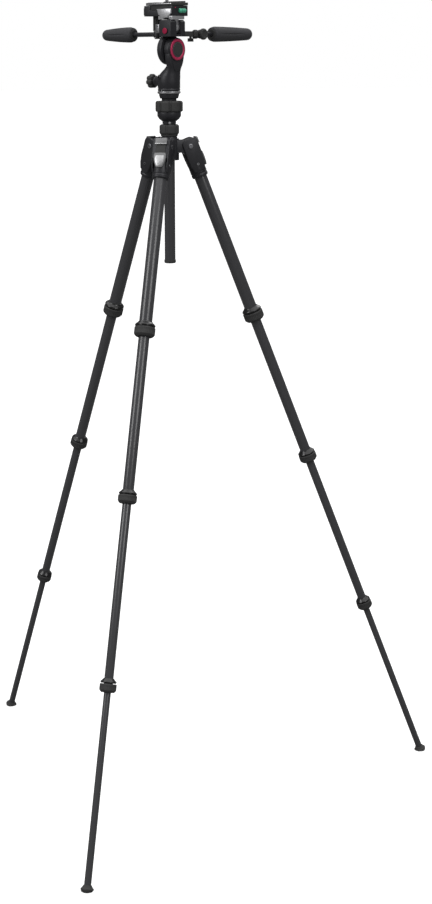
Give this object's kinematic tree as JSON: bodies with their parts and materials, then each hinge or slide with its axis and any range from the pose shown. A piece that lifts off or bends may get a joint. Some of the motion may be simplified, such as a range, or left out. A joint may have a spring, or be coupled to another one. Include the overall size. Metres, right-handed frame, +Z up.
{
  "type": "travel tripod with three-way head",
  "caption": "Folding travel tripod with twist-lock legs, a levelling centre column and a three-way pan, tilt and roll head with two handles.",
  "frame": {"origin": "on the floor, on the column's axis, midway between the three feet", "axes": "+Z up the column, -Y towards the front leg"},
  "size_m": [0.8566, 0.7445, 1.4088],
  "materials": {
    "carbon_tube": "woven carbon fibre under clear resin",
    "ribbed_plastic": "rubbery moulded plastic with grip ribs",
    "foot_rubber": "moulded rubber",
    "grip_rubber": "soft moulded rubber",
    "catch_grey": "satin grey alloy",
    "bolt_steel": "dark plated steel",
    "bright_alloy": "machined bright alloy",
    "crimson_ring": "crimson anodised ring",
    "level_green": "clear green acrylic",
    "dial_grey": "grey anodised",
    "bearing_plastic": "plain bearing plastic",
    "moulded_black": "fine grained moulded plastic",
    "cast_black": "black powder coat on cast alloy"
  },
  "bodies": {
    "spider": {"spider": "cast_black", "pivot_bolts": "bolt_steel", "column_bush": "bearing_plastic"},
    "column": {"column_tube": "carbon_tube", "column_cap": "moulded_black", "level_bowl": "cast_black"},
    "column_collar": {"column_collar": "ribbed_plastic"},
    "level_ring": {"level_ring": "ribbed_plastic"},
    "level_saddle": {"level_saddle": "bearing_plastic"},
    "level_ball": {"level_ball": "cast_black", "pan_scale": "dial_grey"},
    "head_base": {"head_base": "cast_black", "tilt_ring": "crimson_ring"},
    "pan_knob": {"pan_knob": "ribbed_plastic"},
    "tilt": {"tilt_body": "cast_black", "head_shafts": "bolt_steel", "side_cover": "dial_grey", "rear_bracket": "cast_black"},
    "rear_knob": {"rear_knob": "ribbed_plastic"},
    "rear_rod": {"rear_rod": "bolt_steel"},
    "rear_grip": {"rear_grip": "grip_rubber"},
    "roll": {"roll_cradle": "bright_alloy", "clamp": "cast_black", "bubble_level": "level_green", "side_post": "moulded_black"},
    "clamp_lever": {"clamp_lever": "moulded_black"},
    "side_rod": {"side_rod": "bolt_steel"},
    "side_grip": {"side_grip": "grip_rubber"},
    "camera_plate": {"camera_plate": "moulded_black"},
    "camera_screw": {"camera_screw": "bolt_steel"},
    "leg_1": {"leg_1_casting": "cast_black", "leg_1_tube_1": "carbon_tube"},
    "leg_1_section_2": {"leg_1_tube_2": "carbon_tube"},
    "leg_1_section_3": {"leg_1_tube_3": "carbon_tube"},
    "leg_1_section_4": {"leg_1_tube_4": "carbon_tube", "leg_1_foot": "foot_rubber"},
    "leg_1_lock_1": {"leg_1_lock_1": "ribbed_plastic"},
    "leg_1_lock_2": {"leg_1_lock_2": "ribbed_plastic"},
    "leg_1_lock_3": {"leg_1_lock_3": "ribbed_plastic"},
    "leg_1_catch": {"leg_1_catch": "catch_grey"},
    "leg_2": {"leg_2_casting": "cast_black", "leg_2_tube_1": "carbon_tube"},
    "leg_2_section_2": {"leg_2_tube_2": "carbon_tube"},
    "leg_2_section_3": {"leg_2_tube_3": "carbon_tube"},
    "leg_2_section_4": {"leg_2_tube_4": "carbon_tube", "leg_2_foot": "foot_rubber"},
    "leg_2_lock_1": {"leg_2_lock_1": "ribbed_plastic"},
    "leg_2_lock_2": {"leg_2_lock_2": "ribbed_plastic"},
    "leg_2_lock_3": {"leg_2_lock_3": "ribbed_plastic"},
    "leg_2_catch": {"leg_2_catch": "catch_grey"},
    "leg_3": {"leg_3_casting": "cast_black", "leg_3_tube_1": "carbon_tube"},
    "leg_3_section_2": {"leg_3_tube_2": "carbon_tube"},
    "leg_3_section_3": {"leg_3_tube_3": "carbon_tube"},
    "leg_3_section_4": {"leg_3_tube_4": "carbon_tube", "leg_3_foot": "foot_rubber"},
    "leg_3_lock_1": {"leg_3_lock_1": "ribbed_plastic"},
    "leg_3_lock_2": {"leg_3_lock_2": "ribbed_plastic"},
    "leg_3_lock_3": {"leg_3_lock_3": "ribbed_plastic"},
    "leg_3_catch": {"leg_3_catch": "catch_grey"}
  },
  "joints": [
    {"name": "leg_1_fold", "type": "hinge", "parent": "spider", "child": "leg_1", "pos_m": [0, -0.035, 1.15534], "axis": [-1, 0, 0], "range_deg": [-19, 62.8]},
    {"name": "leg_1_slide_2", "type": "slide", "parent": "leg_1", "child": "leg_1_section_2", "axis": [0, 0.3616, 0.9323], "range_m": [0, 0.2602]},
    {"name": "leg_1_slide_3", "type": "slide", "parent": "leg_1_section_2", "child": "leg_1_section_3", "axis": [0, 0.3616, 0.9323], "range_m": [0, 0.2847]},
    {"name": "leg_1_slide_4", "type": "slide", "parent": "leg_1_section_3", "child": "leg_1_section_4", "axis": [0, 0.3616, 0.9323], "range_m": [0, 0.2904]},
    {"name": "leg_1_twist_1", "type": "hinge", "parent": "leg_1", "child": "leg_1_lock_1", "pos_m": [0, -0.15213, 0.85336], "axis": [0, 0.3616, 0.9323], "range_deg": [0, 90]},
    {"name": "leg_1_twist_2", "type": "hinge", "parent": "leg_1_section_2", "child": "leg_1_lock_2", "pos_m": [0, -0.25545, 0.58699], "axis": [0, 0.3616, 0.9323], "range_deg": [0, 90]},
    {"name": "leg_1_twist_3", "type": "hinge", "parent": "leg_1_section_3", "child": "leg_1_lock_3", "pos_m": [0, -0.36708, 0.29918], "axis": [0, 0.3616, 0.9323], "range_deg": [0, 90]},
    {"name": "leg_1_catch_pull", "type": "slide", "parent": "leg_1", "child": "leg_1_catch", "axis": [0, -0.9323, 0.3616], "range_m": [0, 0.005]},
    {"name": "leg_2_fold", "type": "hinge", "parent": "spider", "child": "leg_2", "pos_m": [0.03031, 0.0175, 1.15534], "axis": [0.5, -0.866, 0], "range_deg": [-19, 62.8]},
    {"name": "leg_2_slide_2", "type": "slide", "parent": "leg_2", "child": "leg_2_section_2", "axis": [-0.3132, -0.1808, 0.9323], "range_m": [0, 0.2602]},
    {"name": "leg_2_slide_3", "type": "slide", "parent": "leg_2_section_2", "child": "leg_2_section_3", "axis": [-0.3132, -0.1808, 0.9323], "range_m": [0, 0.2847]},
    {"name": "leg_2_slide_4", "type": "slide", "parent": "leg_2_section_3", "child": "leg_2_section_4", "axis": [-0.3132, -0.1808, 0.9323], "range_m": [0, 0.2904]},
    {"name": "leg_2_twist_1", "type": "hinge", "parent": "leg_2", "child": "leg_2_lock_1", "pos_m": [0.13175, 0.07606, 0.85336], "axis": [-0.3132, -0.1808, 0.9323], "range_deg": [0, 90]},
    {"name": "leg_2_twist_2", "type": "hinge", "parent": "leg_2_section_2", "child": "leg_2_lock_2", "pos_m": [0.22122, 0.12772, 0.58699], "axis": [-0.3132, -0.1808, 0.9323], "range_deg": [0, 90]},
    {"name": "leg_2_twist_3", "type": "hinge", "parent": "leg_2_section_3", "child": "leg_2_lock_3", "pos_m": [0.3179, 0.18354, 0.29918], "axis": [-0.3132, -0.1808, 0.9323], "range_deg": [0, 90]},
    {"name": "leg_2_catch_pull", "type": "slide", "parent": "leg_2", "child": "leg_2_catch", "axis": [0.8074, 0.4662, 0.3616], "range_m": [0, 0.005]},
    {"name": "leg_3_fold", "type": "hinge", "parent": "spider", "child": "leg_3", "pos_m": [-0.03031, 0.0175, 1.15534], "axis": [0.5, 0.866, 0], "range_deg": [-19, 62.8]},
    {"name": "leg_3_slide_2", "type": "slide", "parent": "leg_3", "child": "leg_3_section_2", "axis": [0.3132, -0.1808, 0.9323], "range_m": [0, 0.2602]},
    {"name": "leg_3_slide_3", "type": "slide", "parent": "leg_3_section_2", "child": "leg_3_section_3", "axis": [0.3132, -0.1808, 0.9323], "range_m": [0, 0.2847]},
    {"name": "leg_3_slide_4", "type": "slide", "parent": "leg_3_section_3", "child": "leg_3_section_4", "axis": [0.3132, -0.1808, 0.9323], "range_m": [0, 0.2904]},
    {"name": "leg_3_twist_1", "type": "hinge", "parent": "leg_3", "child": "leg_3_lock_1", "pos_m": [-0.13175, 0.07606, 0.85336], "axis": [0.3132, -0.1808, 0.9323], "range_deg": [0, 90]},
    {"name": "leg_3_twist_2", "type": "hinge", "parent": "leg_3_section_2", "child": "leg_3_lock_2", "pos_m": [-0.22122, 0.12772, 0.58699], "axis": [0.3132, -0.1808, 0.9323], "range_deg": [0, 90]},
    {"name": "leg_3_twist_3", "type": "hinge", "parent": "leg_3_section_3", "child": "leg_3_lock_3", "pos_m": [-0.3179, 0.18354, 0.29918], "axis": [0.3132, -0.1808, 0.9323], "range_deg": [0, 90]},
    {"name": "leg_3_catch_pull", "type": "slide", "parent": "leg_3", "child": "leg_3_catch", "axis": [-0.8074, 0.4662, 0.3616], "range_m": [0, 0.005]},
    {"name": "column_raise", "type": "slide", "parent": "spider", "child": "column", "axis": [0, 0, 1], "range_m": [0, 0.17]},
    {"name": "column_collar_turn", "type": "hinge", "parent": "spider", "child": "column_collar", "pos_m": [0, 0, 1.18294], "axis": [0, 0, 1], "range_deg": [0, 120]},
    {"name": "level_ring_turn", "type": "hinge", "parent": "column", "child": "level_ring", "pos_m": [0, 0, 1.22474], "axis": [0, 0, 1], "range_deg": [0, 120]},
    {"name": "level_tip_x", "type": "hinge", "parent": "column", "child": "level_saddle", "pos_m": [0, 0, 1.22194], "axis": [1, 0, 0], "range_deg": [-7, 7]},
    {"name": "level_tip_y", "type": "hinge", "parent": "level_saddle", "child": "level_ball", "pos_m": [0, 0, 1.22194], "axis": [0, 1, 0], "range_deg": [-7, 7]},
    {"name": "head_pan", "type": "hinge", "parent": "level_ball", "child": "head_base", "pos_m": [0, 0, 1.25184], "axis": [0, 0, 1], "continuous": true},
    {"name": "pan_knob_turn", "type": "hinge", "parent": "head_base", "child": "pan_knob", "pos_m": [-0.0352, 0.01679, 1.26884], "axis": [0.9026, -0.4305, 0], "range_deg": [0, 180]},
    {"name": "head_tilt", "type": "hinge", "parent": "head_base", "child": "tilt", "pos_m": [0, 0, 1.32334], "axis": [0.9026, -0.4305, 0], "range_deg": [-30, 90]},
    {"name": "head_roll", "type": "hinge", "parent": "tilt", "child": "roll", "pos_m": [0.01173, -0.0056, 1.36084], "axis": [0.4305, 0.9026, 0], "range_deg": [-20, 90]},
    {"name": "rear_knob_turn", "type": "hinge", "parent": "tilt", "child": "rear_knob", "pos_m": [0.03744, 0.05527, 1.34984], "axis": [0.9026, -0.4305, 0], "range_deg": [0, 180]},
    {"name": "rear_handle_fold", "type": "hinge", "parent": "tilt", "child": "rear_rod", "pos_m": [0.03744, 0.05527, 1.34984], "axis": [-0.9026, 0.4305, 0], "range_deg": [0, 90]},
    {"name": "rear_grip_twist", "type": "hinge", "parent": "rear_rod", "child": "rear_grip", "pos_m": [0.06069, 0.10401, 1.34984], "axis": [0.4305, 0.9026, 0], "range_deg": [0, 180]},
    {"name": "side_handle_fold", "type": "hinge", "parent": "roll", "child": "side_rod", "pos_m": [-0.02347, 0.01119, 1.34984], "axis": [0, 0, -1], "range_deg": [0, 90]},
    {"name": "side_grip_twist", "type": "hinge", "parent": "side_rod", "child": "side_grip", "pos_m": [-0.07762, 0.03702, 1.34984], "axis": [0.9026, -0.4305, 0], "range_deg": [0, 180]},
    {"name": "clamp_lever_open", "type": "hinge", "parent": "roll", "child": "clamp_lever", "pos_m": [-0.04402, 0.00504, 1.38884], "axis": [0, 0, 1], "range_deg": [0, 60]},
    {"name": "plate_slide", "type": "slide", "parent": "roll", "child": "camera_plate", "axis": [0.4305, 0.9026, 0], "range_m": [0, 0.05]},
    {"name": "camera_screw_turn", "type": "hinge", "parent": "camera_plate", "child": "camera_screw", "pos_m": [-0.00316, 0.00151, 1.40384], "axis": [0, 0, 1], "continuous": true}
  ]
}
